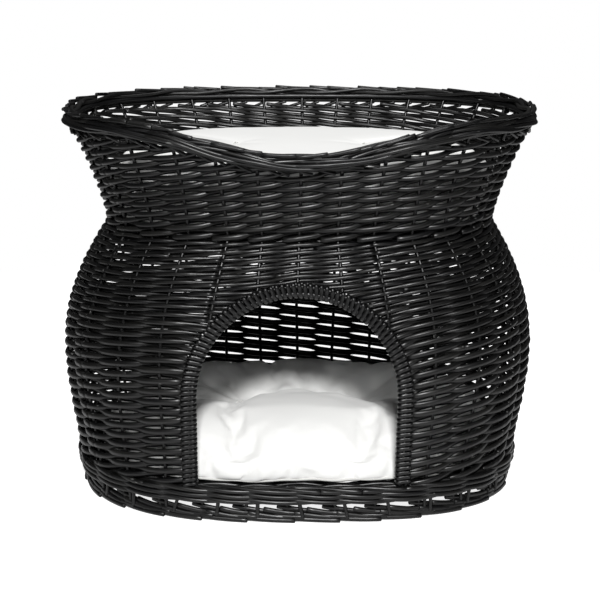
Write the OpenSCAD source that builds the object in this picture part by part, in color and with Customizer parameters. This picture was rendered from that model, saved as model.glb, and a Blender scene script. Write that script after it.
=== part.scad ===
// Two-level wicker pet basket: a woven cave with an arched door below,
// an open flared bed above, and one loose cushion on each level.
// Origin: middle of the floor print, +Z up, the door looks along -Y.

/* [Outline] */
// Number of upright stakes, spaced evenly round the wall
stake_count = 30; // [26:2:30]
// Roundness of the plan outline: 2 is an ellipse, more is squarer
plan_power = 2.7; // [2.5:0.1:3]
// Half width of the wall at the floor
base_half_w = 250; // [244:1:254]
// Half depth of the wall at the floor
base_half_d = 180; // [174:1:184]
// How far the cave wall swells sideways beyond a straight taper
swell_w = 35; // [25:1:38]
// How far the cave wall swells to front and back beyond a straight taper
swell_d = 26; // [18:1:28]
// Height of the narrow waist between cave and bed
waist_z = 305; // [300:1:310]
// Half width of the wall at the waist
waist_half_w = 216; // [210:1:222]
// Half depth of the wall at the waist
waist_half_d = 146; // [142:1:150]
// Thickness of the woven wall
wall_t = 6; // [5:0.5:7]

/* [Top border] */
// Height of the top of the border at the back and sides
rim_top = 434; // [430:1:440]
// How far the border dips at the middle of the front
rim_dip = 32; // [20:1:36]
// Half length of the dip along X
dip_half_w = 202; // [180:1:210]
// Half width of the wall under the border
rim_half_w = 252; // [246:1:254]
// Half depth of the wall under the border
rim_half_d = 169; // [165:1:172]
// Thickness of the rolled border, across
border_w = 26; // [22:1:28]
// Thickness of the rolled border, up and down
border_h = 22; // [18:1:24]

/* [Rods] */
// Diameter of an upright stake
stake_d = 4.6; // [4:0.2:5]
// Diameter of a stick in the floor or the shelf
stick_d = 6; // [5:0.5:6]
// Height of one course of the thick rods above the foot
wale_rod = 6; // [5:0.5:6]

/* [Door] */
// Clear width of the door
door_w = 213; // [200:1:214]
// Height of the top of the door above the floor
door_top = 249; // [240:1:252]
// Diameter of each rod in the door frame
hoop_d = 6; // [5:0.5:6.5]
// Wrapping turns round the door frame
wrap_count = 60; // [40:2:64]

/* [Cushions] */
// Thickness of the lower cushion
lower_cushion_h = 72; // [60:1:80]
// Thickness of the upper cushion
upper_cushion_h = 84; // [76:1:86]
// Diameter of the piping round the cushion seams
piping_d = 4; // [3:0.5:4]

/* [Hidden] */

willow = [0.07, 0.07, 0.075];
willow_dark = [0.05, 0.05, 0.055];
willow_light = [0.12, 0.12, 0.125];
cloth = [0.93, 0.93, 0.91];
cloth_seam = [0.85, 0.85, 0.83];

gap = 0.4;
course_gap = 0.05;
foot_h = 12;
foot_w = 14;
wale_z = 23;
wale_w = 9;
sill_z = wale_z + 3 * wale_rod;
base_t = 6;
base_top = 34;
shelf_t = 6;
swell_power = 1.45;
flare_power = 1.4;
border_lean = 5;
border_gap = 0.025;
border_mid_z = rim_top - border_h / 2;
bed_top_z = border_mid_z - border_h / 2 - gap;
bed_z = waist_z + gap;
tip_l = 12;
tip_d = 4;
hoop_r = hoop_d / 2;
wrap_t = 2;
frame_w = 2 * hoop_d + 2 * wrap_t;
opening_w = door_w + 2 * frame_w + 2 * gap;
cushion_gap = 5;

// ---- Plan outline -------------------------------------------------------

// Point of the outline with the half sizes hw and hd, in the direction u
function plan(hw, hd, u) =
    let (r = pow(pow(abs(cos(u)) / hw, plan_power) + pow(abs(sin(u)) / hd, plan_power), -1 / plan_power))
        [r * cos(u), r * sin(u)];

// Running length of the reference outline, as [length, direction] pairs from the front middle
function ref_point(u) = plan(base_half_w, base_half_d, u);
run_table = [
    for (u = -90, run = 0; u <= 271; run = run + norm(ref_point(u + 1) - ref_point(u)), u = u + 1)
        [run, u]
];
run_total = lookup(270, [for (entry = run_table) [entry[1], entry[0]]]);

// Direction of the point a share s of the way round the outline, from the front middle towards +X
function u_at(s) = lookup((s - floor(s)) * run_total, run_table);

// Direction of stake i moved on by d millimetres along the outline
function u_stake(i, d = 0) = u_at(i / stake_count + d / run_total);

// ---- Wall profile -------------------------------------------------------

function cave_size(z, at_base, at_waist, swell) =
    at_base + (at_waist - at_base) * z / waist_z + swell * sin(180 * pow(z / waist_z, swell_power));
function bed_size(z, at_waist, at_rim) =
    at_waist + (at_rim - at_waist) * pow((z - waist_z) / (bed_top_z - waist_z), flare_power);
function half_w(z) =
    z < waist_z ? cave_size(z, base_half_w, waist_half_w, swell_w) : bed_size(z, waist_half_w, rim_half_w);
function half_d(z) =
    z < waist_z ? cave_size(z, base_half_d, waist_half_d, swell_d) : bed_size(z, waist_half_d, rim_half_d);

// Point of the wall at the height z, off millimetres out from its middle surface
function wall(u, z, off = 0) = let (p = plan(half_w(z) + off, half_d(z) + off, u)) [p[0], p[1], z];

// How far the border is below its full height at the place x, on the front half
function dip(x, y) =
    y > 0 || abs(x) > dip_half_w ? 0 : rim_dip * (1 + cos(180 * x / dip_half_w)) / 2;
function dip_at(u) = let (p = plan(rim_half_w, rim_half_d, u)) dip(p[0], p[1]);

// ---- Swept and woven solids ---------------------------------------------

// Faces of a closed solid whose cross-sections are rings of n points
function tube_faces(rings, n) = concat(
    [[for (j = [0:n - 1]) j]],
    [for (i = [0:rings - 2], j = [0:n - 1])
        [i * n + j, (i + 1) * n + j, (i + 1) * n + (j + 1) % n]],
    [for (i = [0:rings - 2], j = [0:n - 1])
        [i * n + j, (i + 1) * n + (j + 1) % n, i * n + (j + 1) % n]],
    [[for (j = [n - 1:-1:0]) (rings - 1) * n + j]]
);

function unit(v) = v / norm(v);
function path_dir(path, i) =
    unit(path[min(i + 1, len(path) - 1)] - path[max(i - 1, 0)]);

// Rod along a path: "out" is the direction kept square to the path, ra and rb its radii
module rod(path, out, ra, rb, sides) {
    rings = [
        for (i = [0:len(path) - 1])
            let (t = path_dir(path, i), b = unit(cross(t, out)), o = cross(b, t))
                for (j = [0:sides - 1])
                    path[i] + o * ra * cos(360 * j / sides) + b * rb * sin(360 * j / sides)
    ];
    polyhedron(rings, tube_faces(len(path), sides), convexity = 4);
}

// Outline ring of the wall between two heights, as an exact straight-sided band
module band(z, h, outer, inner, level) {
    translate([0, 0, z])
        linear_extrude(h)
            difference() {
                polygon([for (k = [0:119]) plan(half_w(level) + outer, half_d(level) + outer, u_at(k / 120))]);
                polygon([for (k = [0:119]) plan(half_w(level) - inner, half_d(level) - inner, u_at(k / 120))]);
            }
}

// Filled outline at one height, "inset" millimetres inside the wall's middle surface
module plate(z, h, inset, level) {
    translate([0, 0, z])
        linear_extrude(h)
            polygon([for (k = [0:119]) plan(half_w(level) - inset, half_d(level) - inset, u_at(k / 120))]);
}

// Woven panel through the directions us. "low" and "high" give its edges' heights from a direction
module panel(us, low, high) {
    steps = 3;
    section = [
        for (u = us)
            let (z0 = low(u), dz = (high(u) - z0) / steps)
                concat(
                    [for (k = [0:steps]) wall(u, z0 + dz * k, wall_t / 2)],
                    [for (k = [steps:-1:0]) wall(u, z0 + dz * k, -wall_t / 2)]
                )
    ];
    polyhedron([for (s = section) each s], tube_faces(len(us), 2 * steps + 2), convexity = 4);
}

// Directions across the bay between stake i and stake i + 1, clear of both stakes
stake_clear = stake_d / 2 + 1;
function bay(i) = [u_stake(i, stake_clear), u_stake(i + 0.5), u_stake(i + 1, -stake_clear)];

// Woven bays from stake "first" to stake "last", in courses between the listed heights.
// The share of the border's dip that a course follows grows from 0 at the first height to "follow"
module weave(first, last, heights, follow = 0) {
    courses = len(heights) - 1;
    for (i = [first:last - 1], k = [0:courses - 1])
        panel(
            bay(i),
            function (u) heights[k] - follow * dip_at(u) * k / courses,
            function (u) heights[k + 1] - course_gap - follow * dip_at(u) * (k + 1) / courses
        );
}

// Stake i between two heights
module stake(i, z0, z1) {
    rings = 9;
    path = [for (k = [0:rings - 1]) wall(u_stake(i), z0 + (z1 - z0) * k / (rings - 1))];
    rod(path, unit([path[0][0], path[0][1], 0]), stake_d / 2, stake_d / 2, 6);
}

function stake_top(i) = bed_top_z - dip_at(u_stake(i));
module full_stakes(list) {
    for (i = list)
        stake(i, foot_h + gap, stake_top(i));
}

// ---- Which stakes belong where --------------------------------------------

over_door = 2;
front_last = 5;
side_last = 10;
cave_courses = [sill_z + gap, 105, 170, 235, waist_z];
bed_courses = [bed_z, 350, bed_top_z];

// ---- Door -----------------------------------------------------------------

// Centre line of the door frame, "grow" millimetres outside the clear opening
arch_steps = 30;
function arch_xz(grow) =
    let (r = door_w / 2 + grow, spring = door_top - door_w / 2)
        concat(
            [for (k = [0:3]) [-r, sill_z + gap + (spring - sill_z - gap) * k / 4]],
            [for (k = [0:arch_steps]) [-r * cos(180 * k / arch_steps), spring + r * sin(180 * k / arch_steps)]],
            [for (k = [3:-1:0]) [r, sill_z + gap + (spring - sill_z - gap) * k / 4]]
        );

// Height of the wall's edge over the door frame, at the place x and then in the direction u
function over_arch(x) =
    let (r = opening_w / 2 + gap) door_top - door_w / 2 + sqrt(max(0, r * r - x * x));
function arch_edge(u, z = door_top, rounds = 4) =
    rounds == 0 ? z : arch_edge(u, over_arch(wall(u, z, -wall_t / 2)[0]), rounds - 1);

// Y of the front wall's middle surface at the place x and the height z
function front_y(x, z) =
    -half_d(z) * pow(1 - pow(abs(x) / half_w(z), plan_power), 1 / plan_power);
function arch_path(grow, forward = 0) =
    [for (p = arch_xz(grow)) [p[0], front_y(p[0], p[1]) - forward, p[1]]];

// Direction in which the wall stands clear of the door frame's right leg at the sill
function beside_door() =
    lookup(opening_w / 2, [for (u = [-90:-30]) [wall(u, sill_z, -wall_t / 2)[0], u]]);

// ---- Foot and floor ---------------------------------------------------------

module foot_border() {
    color(willow_dark)
        band(0, foot_h, 4, foot_w - 4, 0);
}

module foot_stake_tips() {
    color(willow_light)
        for (i = [0:stake_count - 1]) {
            low = wall(u_at((i + 0.5) / stake_count), foot_h + gap, -2);
            high = wall(u_at((i + 0.5) / stake_count), wale_z - gap, -2);
            rod([low, high], unit([low[0], low[1], 0]), tip_d / 2, tip_d / 2, 6);
        }
}

module wale(course, tone) {
    level = wale_z + (course + 0.5) * wale_rod;
    color(tone)
        difference() {
            band(wale_z + course * wale_rod, wale_rod, wale_w / 2, wale_w / 2, level);
            for (i = [0:stake_count - 1])
                translate([wall(u_stake(i), level)[0], wall(u_stake(i), level)[1], 0])
                    cylinder(h = 3 * wale_z, d = stake_d + 2, $fn = 8);
        }
}
module foot_wale_lower() { wale(0, willow); }
module foot_wale_middle() { wale(1, willow_dark); }
module foot_wale_upper() { wale(2, willow); }

// Row of parallel sticks along X or Y, cut to the outline
module sticks(count, pitch, z, inset, level, along_x) {
    reach_w = half_w(level) - inset;
    reach_d = half_d(level) - inset;
    for (k = [0:count - 1]) {
        s = (k - (count - 1) / 2) * pitch;
        side = abs(s) + stick_d / 2;
        half = along_x
            ? reach_w * pow(1 - pow(side / reach_d, plan_power), 1 / plan_power)
            : reach_d * pow(1 - pow(side / reach_w, plan_power), 1 / plan_power);
        translate(along_x ? [-half, s, z] : [s, half, z])
            rotate(along_x ? [0, 90, 0] : [90, 0, 0])
                cylinder(h = 2 * half, d = stick_d, $fn = 24);
    }
}

base_inset = wale_w / 2 + 1.5;
cross_z = base_top - base_t - stick_d / 2;
long_z = cross_z - stick_d;
module base_long_sticks() {
    color(willow)
        sticks(6, 46, long_z, base_inset + 8, wale_z, true);
}
module base_cross_sticks() {
    color(willow_dark)
        sticks(9, 46, cross_z, base_inset, wale_z, false);
}
module base_weave() {
    color(willow_light)
        plate(base_top - base_t, base_t, base_inset, wale_z);
}

// ---- Stakes -----------------------------------------------------------------

module stakes_left() {
    color(willow_light)
        full_stakes([stake_count - side_last:stake_count - front_last]);
}
module stakes_right() {
    color(willow_light)
        full_stakes([front_last:side_last]);
}
module stakes_back() {
    color(willow_light)
        full_stakes([side_last + 1:stake_count - side_last - 1]);
}
module stakes_front() {
    color(willow_light)
        full_stakes([for (i = [over_door + 1:front_last - 1]) each [i, stake_count - i]]);
}
module stakes_over_door() {
    color(willow_light)
        for (i = [-over_door:over_door]) {
            stake(i, arch_edge(u_stake(i)) + stake_d / 2, stake_top(i));
        }
}

// ---- Cave wall ----------------------------------------------------------------

module cave_weave_left() {
    color(willow)
        weave(stake_count - side_last, stake_count - front_last, cave_courses);
}
module cave_weave_right() {
    color(willow)
        weave(front_last, side_last, cave_courses);
}
module cave_weave_back() {
    color(willow_dark)
        weave(side_last, stake_count - side_last, cave_courses);
}

// Right front panel: whole bays, the strip beside the door frame, and the corner above it
module front_weave() {
    weave(over_door + 1, front_last, cave_courses);
    edge = beside_door();
    last = u_stake(over_door + 1, -stake_clear);
    for (k = [0:len(cave_courses) - 2])
        panel(
            [edge, last],
            function (u) cave_courses[k],
            function (u) cave_courses[k + 1] - course_gap
        );
    first = u_stake(over_door, stake_clear);
    corner = edge - 0.05;
    over_door_panel([for (k = [0:4]) first + (corner - first) * k / 4]);
}
module over_door_panel(us) {
    panel(us, function (u) arch_edge(u), function (u) waist_z - course_gap);
}
module cave_weave_front_left() {
    color(willow_dark)
        mirror([1, 0, 0])
            front_weave();
}
module cave_weave_front_right() {
    color(willow_dark)
        front_weave();
}
module cave_weave_over_door() {
    color(willow)
        for (i = [-over_door:over_door - 1])
            over_door_panel([for (k = [0:4]) u_stake(i + k / 4, stake_clear * (2 - k) / 2)]);
}

// ---- Door frame ---------------------------------------------------------------

module door_hoop(grow, tone) {
    path = arch_path(grow);
    color(tone)
        rod(path, [0, -1, 0], hoop_r, hoop_r, 10);
}
module door_hoop_inner() { door_hoop(wrap_t + hoop_r, willow_light); }
module door_hoop_outer() { door_hoop(wrap_t + 3 * hoop_r + 0.1, willow); }

// Flat sleeves of split willow round both hoops, one after another along the arch
module door_wrap() {
    leg = door_top - door_w / 2 - sill_z - gap;
    mid_r = door_w / 2 + frame_w / 2;
    bend = PI * mid_r;
    pitch = (2 * leg + bend) / wrap_count;
    color(willow_dark)
        for (k = [0:wrap_count - 1]) {
            run = (k + 0.5) * pitch;
            turn = 180 * (run < leg ? 0 : run > leg + bend ? 1 : (run - leg) / bend);
            z = run < leg ? sill_z + gap + run : run > leg + bend ? sill_z + gap + 2 * leg + bend - run
                : door_top - door_w / 2 + mid_r * sin(turn);
            x = -mid_r * cos(turn);
            ahead = [x + sin(turn), z + cos(turn)];
            rise = atan(front_y(ahead[0], ahead[1]) - front_y(x, z));
            translate([x, front_y(x, z), z])
                rotate([0, turn, 0])
                    rotate([-rise, 0, 0])
                        linear_extrude(pitch - 1.2, center = true)
                            difference() {
                                square([frame_w, hoop_d + 2 * wrap_t + 1], center = true);
                                square([frame_w - 2 * wrap_t + 0.8, hoop_d + 2], center = true);
                            }
        }
}

// ---- Shelf ----------------------------------------------------------------------

shelf_inset = wall_t / 2 + 0.3;
shelf_cross_z = waist_z - shelf_t - stick_d / 2;
shelf_long_z = shelf_cross_z - stick_d;
module shelf_frame() {
    color(willow_dark)
        band(shelf_long_z - stick_d / 2, 2 * stick_d, -shelf_inset - 0.8, shelf_inset + 9, waist_z);
}
module shelf_long_sticks() {
    color(willow)
        sticks(5, 46, shelf_long_z, shelf_inset + 9.3, waist_z, true);
}
module shelf_cross_sticks() {
    color(willow_dark)
        sticks(8, 46, shelf_cross_z, shelf_inset + 9.3, waist_z, false);
}
module shelf_weave() {
    color(willow_light)
        plate(waist_z - shelf_t, shelf_t, shelf_inset + 0.8, waist_z);
}

// ---- Bed wall -------------------------------------------------------------------

module bed_weave_left() {
    color(willow)
        weave(stake_count - side_last, stake_count - front_last, bed_courses, 1);
}
module bed_weave_right() {
    color(willow)
        weave(front_last, side_last, bed_courses, 1);
}
module bed_weave_back() {
    color(willow_dark)
        weave(side_last, stake_count - side_last, bed_courses, 1);
}
module bed_weave_front() {
    color(willow_dark)
        weave(-front_last, front_last, bed_courses, 1);
}

// ---- Top border -------------------------------------------------------------------

// Centre line of the border at the share s of the way round
function border_point(s) =
    let (u = u_at(s), p = plan(rim_half_w + border_lean, rim_half_d + border_lean, u))
        [p[0], p[1], border_mid_z - dip(p[0], p[1])];

// One turned-down stake end after another, each lying over one bay
module rim_border() {
    color(willow)
        for (i = [0:stake_count - 1]) {
            path = [for (k = [0:3]) border_point((i + border_gap + (1 - 2 * border_gap) * k / 3) / stake_count)];
            rod(path, [0, 0, 1], border_h / 2, border_w / 2, 10);
        }
}

// Cut stake ends under the border, outside the wall
module rim_stake_tips() {
    color(willow_light)
        for (i = [0:stake_count - 1]) {
            s = (i + 0.5) / stake_count;
            drop = dip_at(u_at(s));
            high = wall(u_at(s), bed_top_z - 1, wall_t / 2 + tip_d / 2 + 0.3) - [0, 0, drop + 1];
            low = wall(u_at(s), bed_top_z - tip_l, wall_t / 2 + tip_d / 2 + 0.3) - [0, 0, drop + 1];
            rod([low, high], unit([low[0], low[1], 0]), tip_d / 2, tip_d / 2, 6);
        }
}

// ---- Cushions -----------------------------------------------------------------------

// Crowned pad: hw and hd at the seam, h high, resting at z
module pad(hw, hd, z, h) {
    levels = 7;
    around = 48;
    rings = [
        for (k = [0:levels - 1])
            let (t = k / (levels - 1), pull = 0.16 * pow(abs(2 * t - 1), 2.4))
                for (j = [0:around - 1])
                    let (p = plan(hw * (1 - pull), hd * (1 - pull), u_at(j / around)))
                        [p[0], p[1], z + h * t]
    ];
    polyhedron(rings, tube_faces(levels, around), convexity = 2);
}
module pad_piping(hw, hd, z) {
    path = [for (k = [0:60]) let (p = plan(hw, hd, u_at(0.998 * k / 60))) [p[0], p[1], z]];
    rod(path, [0, 0, 1], piping_d / 2, piping_d / 2, 8);
}
module pad_tufts(spread, z) {
    for (x = [-spread, spread])
        translate([x, 0, z])
            cylinder(h = 1.6, d = 14, $fn = 32);
}

upper_z = waist_z + 0.4;
upper_w = waist_half_w - wall_t / 2;
upper_d = waist_half_d - wall_t / 2;
lower_z = base_top + 0.4;
lower_w = base_half_w - wall_t / 2 - 2 * cushion_gap;
lower_d = base_half_d - frame_w - cushion_gap;
tuft_x = 75;

module upper_cushion() {
    color(cloth)
        pad(upper_w, upper_d, upper_z, upper_cushion_h);
}
module upper_cushion_piping() {
    color(cloth_seam)
        pad_piping(upper_w + piping_d / 2 + 0.2, upper_d + piping_d / 2 + 0.2, upper_z + upper_cushion_h / 2);
}
module upper_cushion_tufts() {
    color(cloth_seam)
        pad_tufts(tuft_x, upper_z + upper_cushion_h + 0.05);
}
module lower_cushion() {
    color(cloth)
        pad(lower_w, lower_d, lower_z, lower_cushion_h);
}
module lower_cushion_piping() {
    color(cloth_seam)
        pad_piping(lower_w + piping_d / 2 + 0.2, lower_d + piping_d / 2 + 0.2, lower_z + lower_cushion_h / 2);
}
module lower_cushion_tufts() {
    color(cloth_seam)
        pad_tufts(tuft_x, lower_z + lower_cushion_h + 0.05);
}

foot_border();
foot_stake_tips();
foot_wale_lower();
foot_wale_middle();
foot_wale_upper();
base_long_sticks();
base_cross_sticks();
base_weave();
stakes_left();
stakes_right();
stakes_back();
stakes_front();
stakes_over_door();
cave_weave_left();
cave_weave_right();
cave_weave_back();
cave_weave_front_left();
cave_weave_front_right();
cave_weave_over_door();
door_hoop_outer();
door_hoop_inner();
door_wrap();
shelf_frame();
shelf_long_sticks();
shelf_cross_sticks();
shelf_weave();
bed_weave_left();
bed_weave_right();
bed_weave_back();
bed_weave_front();
rim_border();
rim_stake_tips();
upper_cushion();
upper_cushion_piping();
upper_cushion_tufts();
lower_cushion();
lower_cushion_piping();
lower_cushion_tufts();
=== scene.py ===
"""Looks of a two-level wicker pet basket.

Every willow rod is a real tube, woven in and out of the stakes by rule. The cushions are inflated
as cloth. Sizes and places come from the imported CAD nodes, in metres, +Z up, door towards -Y.
"""

import math

import bpy
import numpy as np
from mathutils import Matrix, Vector
from mathutils.bvhtree import BVHTree


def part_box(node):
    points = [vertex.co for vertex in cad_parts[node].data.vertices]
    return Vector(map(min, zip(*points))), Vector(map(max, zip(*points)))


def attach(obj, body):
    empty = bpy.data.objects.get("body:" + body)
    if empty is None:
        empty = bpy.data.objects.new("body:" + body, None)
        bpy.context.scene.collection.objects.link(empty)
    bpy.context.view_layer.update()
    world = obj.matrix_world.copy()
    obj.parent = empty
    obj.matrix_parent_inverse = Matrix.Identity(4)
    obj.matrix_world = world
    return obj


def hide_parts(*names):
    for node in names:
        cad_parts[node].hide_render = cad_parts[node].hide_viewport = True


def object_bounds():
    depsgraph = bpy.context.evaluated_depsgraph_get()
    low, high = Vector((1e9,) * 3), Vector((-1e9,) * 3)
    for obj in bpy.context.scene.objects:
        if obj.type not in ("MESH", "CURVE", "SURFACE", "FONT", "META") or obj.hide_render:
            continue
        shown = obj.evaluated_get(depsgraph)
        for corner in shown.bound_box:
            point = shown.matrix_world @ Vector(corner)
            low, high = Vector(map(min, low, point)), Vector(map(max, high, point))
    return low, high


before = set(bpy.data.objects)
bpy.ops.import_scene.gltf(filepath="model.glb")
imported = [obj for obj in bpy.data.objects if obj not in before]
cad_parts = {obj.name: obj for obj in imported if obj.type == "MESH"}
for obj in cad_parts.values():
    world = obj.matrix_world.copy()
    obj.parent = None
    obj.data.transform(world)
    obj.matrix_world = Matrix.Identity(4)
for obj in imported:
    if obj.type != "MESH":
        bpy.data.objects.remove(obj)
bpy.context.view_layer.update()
rng = np.random.default_rng(7)
MM = 0.001

# ---- Sizes read from the frame ------------------------------------------------------

STAKES = 30
PLAN_POWER = 2.7
FOOT_LO, FOOT_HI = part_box("foot_border")
WALE_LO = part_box("foot_wale_lower")[0]
SHELF_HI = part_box("shelf_weave")[1]
BORDER_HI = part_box("rim_border")[1]
SILL_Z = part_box("foot_wale_upper")[1][2]
HOOP_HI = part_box("door_hoop_inner")[1]

FOOT_PROUD, SHELF_GAP, BORDER_PROUD = 4 * MM, 4.1 * MM, 18 * MM
BASE_W, BASE_D = FOOT_HI[0] - FOOT_PROUD, FOOT_HI[1] - FOOT_PROUD
WAIST_W, WAIST_D, WAIST_Z = SHELF_HI[0] + SHELF_GAP, SHELF_HI[1] + SHELF_GAP, SHELF_HI[2]
RIM_W, RIM_D, RIM_TOP = BORDER_HI[0] - BORDER_PROUD, BORDER_HI[1] - BORDER_PROUD, BORDER_HI[2]
HALF_BORDER = 11 * MM
BORDER_MID = RIM_TOP - HALF_BORDER
BED_TOP = BORDER_MID - HALF_BORDER
SWELL_W, SWELL_D, SWELL_POWER, FLARE_POWER = 35 * MM, 26 * MM, 1.45, 1.4
DIP, DIP_HALF_W = 32 * MM, 202 * MM
HOOP_PROUD = 8 * MM
DOOR_R = HOOP_HI[0] - HOOP_PROUD
DOOR_SPRING = HOOP_HI[2] - HOOP_PROUD - DOOR_R

# ---- Rod sizes ----------------------------------------------------------------------

STAKE_R, STAKE_START = 2.0 * MM, 5 * MM
ROD_FILL = 0.53  # radius of a cave rod, as a share of the row pitch
BACK_ROD_R, BACK_ROD_OFF = 3.15 * MM, 5.4 * MM
BED_ROD_LOW, BED_ROD_HIGH = 2.7 * MM, 2.45 * MM
CAVE_FLATTEN, BED_FLATTEN = 1.15, 1.05
PACKING = 0.72  # how hard a rod is pressed against the stakes
WALE_R, WALE_PITCH, WALE_BAYS = 2.75 * MM, 6 * MM, 6
CAVE_ROWS, BED_ROWS = 54, 22
BACK_DROPPED = (3, 4, 10, 11, 18, 19, 25, 26)  # rods that turn back before the back panel
BACK_KEPT = [start for start in range(STAKES) if start not in BACK_DROPPED]
LEAN = 4 * MM
INSET = 1.5 * MM
FRAME_W = 16 * MM
WEAVE_UNDER_FRAME, STAKE_UNDER_FRAME = 0.72 * FRAME_W, 0.6 * FRAME_W
STEPS = 8  # points on a rod for each bay

# ---- The wall as a surface ----------------------------------------------------------


def plan(half_w, half_d, u):
    """Point of the rounded plan outline in the direction u, in radians."""
    c, s = np.cos(u), np.sin(u)
    r = ((np.abs(c) / half_w) ** PLAN_POWER + (np.abs(s) / half_d) ** PLAN_POWER) ** (-1 / PLAN_POWER)
    return r * c, r * s


def share_table():
    """Running length of the base outline from the front middle, as a share of the whole."""
    u = np.radians(np.linspace(-90, 270, 1441))
    x, y = plan(BASE_W, BASE_D, u)
    run = np.concatenate([[0], np.cumsum(np.hypot(np.diff(x), np.diff(y)))])
    return run / run[-1], u


SHARE, SHARE_U = share_table()


def direction(s):
    """Direction of the place s, counted in stakes from the front middle towards +X."""
    turns = np.floor(s / STAKES)
    return np.interp(s / STAKES - turns, SHARE, SHARE_U) + 2 * math.pi * turns


def half_sizes(z):
    """Half width and half depth of the wall at the height z."""
    t = np.clip(z / WAIST_Z, 0, 1)
    swell = np.sin(math.pi * t**SWELL_POWER)
    up = np.clip((z - WAIST_Z) / (BED_TOP - WAIST_Z), 0, 1.2) ** FLARE_POWER
    half_w = BASE_W + (WAIST_W - BASE_W) * t + SWELL_W * swell + (RIM_W - WAIST_W) * up
    half_d = BASE_D + (WAIST_D - BASE_D) * t + SWELL_D * swell + (RIM_D - WAIST_D) * up
    return half_w, half_d


def row_table(low, high, rows, thin_from=0.0, thin_to=1.0, thin=1.0):
    """Row numbers against heights: rows are evenly spaced up the slope, and get "thin" times
    as close between two heights."""
    z = np.linspace(low, high, 200)
    half_w, half_d = half_sizes(z)
    rise = np.sqrt(np.diff(z) ** 2 + (np.diff(half_w) ** 2 + np.diff(half_d) ** 2) / 2)
    share = np.clip((z[1:] - thin_from) / (thin_to - thin_from), 0, 1)
    run = np.concatenate([[0], np.cumsum(rise / (1 + (thin - 1) * share))])
    return rows * run / run[-1], z


ROWS_BEHIND = CAVE_ROWS * len(BACK_KEPT) / STAKES
FRONT_ROWS = row_table(SILL_Z, WAIST_Z, CAVE_ROWS, thin_from=0.17, thin_to=0.23, thin=0.72)
BACK_ROWS = row_table(SILL_Z, WAIST_Z, ROWS_BEHIND, thin_from=0.17, thin_to=0.3, thin=0.8)
BED_TABLE = row_table(WAIST_Z, BED_TOP, BED_ROWS)


def row_z(row, table):
    return np.interp(row, *table)


def row_pitch(row, table):
    return (row_z(row + 0.5, table) - row_z(row - 0.5, table)).clip(2 * MM)


def zigzag(s):
    """1 outside a stake, -1 inside the next one, crossing over in the middle of the bay."""
    c = np.cos(math.pi * s)
    return np.sign(c) * np.abs(c) ** 0.62


def switchback(s):
    """The same, but level past each stake and changing sides quickly between stakes."""
    c = np.cos(math.pi * s)
    return np.sign(c) * np.abs(c) ** 0.3


def lean(z):
    """How far the basket leans towards -X at the height z."""
    return LEAN * np.cos(math.pi * z / (2 * RIM_TOP)) ** 2


def bare_wall(s, z):
    """Middle surface of the wall, with the slight lean and waver of hand work."""
    s = s + 0.05 * np.sin(s * 0.9 + 1.3) * np.sin(z * 13 + 0.4 * s) + 0.03 * np.sin(s * 2.3 + z * 21)
    half_w, half_d = half_sizes(z)
    waver = 1.2 * MM * np.sin(2 * math.pi * s * 5 / STAKES + z * 17) * np.clip(z / WAIST_Z, 0, 1)
    x, y = plan(half_w + waver - INSET, half_d + waver - INSET, direction(s))
    return np.stack([x - lean(z), y, z + 0 * x], axis=-1)


def unit(v):
    return v / np.maximum(np.linalg.norm(v, axis=-1, keepdims=True), 1e-9)


def wall(s, z, off=0.0):
    """Points of the wall "off" metres out along its normal, and the normals."""
    s, z = np.broadcast_arrays(np.asarray(s, float), np.asarray(z, float))
    ds, dz = 0.05, 5 * MM
    along = bare_wall(s + ds, z) - bare_wall(s - ds, z)
    up = bare_wall(s, z + dz) - bare_wall(s, z - dz)
    normal = unit(np.cross(along, up))
    return bare_wall(s, z) + normal * np.asarray(off)[..., None], normal


def dip(x, y):
    """How far the border is below its full height."""
    near = (y < 0) & (np.abs(x) < DIP_HALF_W)
    return np.where(near, DIP * (1 + np.cos(math.pi * x / DIP_HALF_W)) / 2, 0)


def dip_at(s):
    return dip(*plan(RIM_W, RIM_D, direction(np.asarray(s, float))))


def front_y(x, z):
    """Y of the front wall at the place x and the height z."""
    half_w, half_d = half_sizes(z)
    return -half_d * (1 - (np.abs(x) / half_w) ** PLAN_POWER) ** (1 / PLAN_POWER)


# ---- Tubes --------------------------------------------------------------------------

CHAMFER_LENGTH, CHAMFER_RADIUS = 0.35, 0.72  # of a cut end, as shares of the rod's radius


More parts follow.
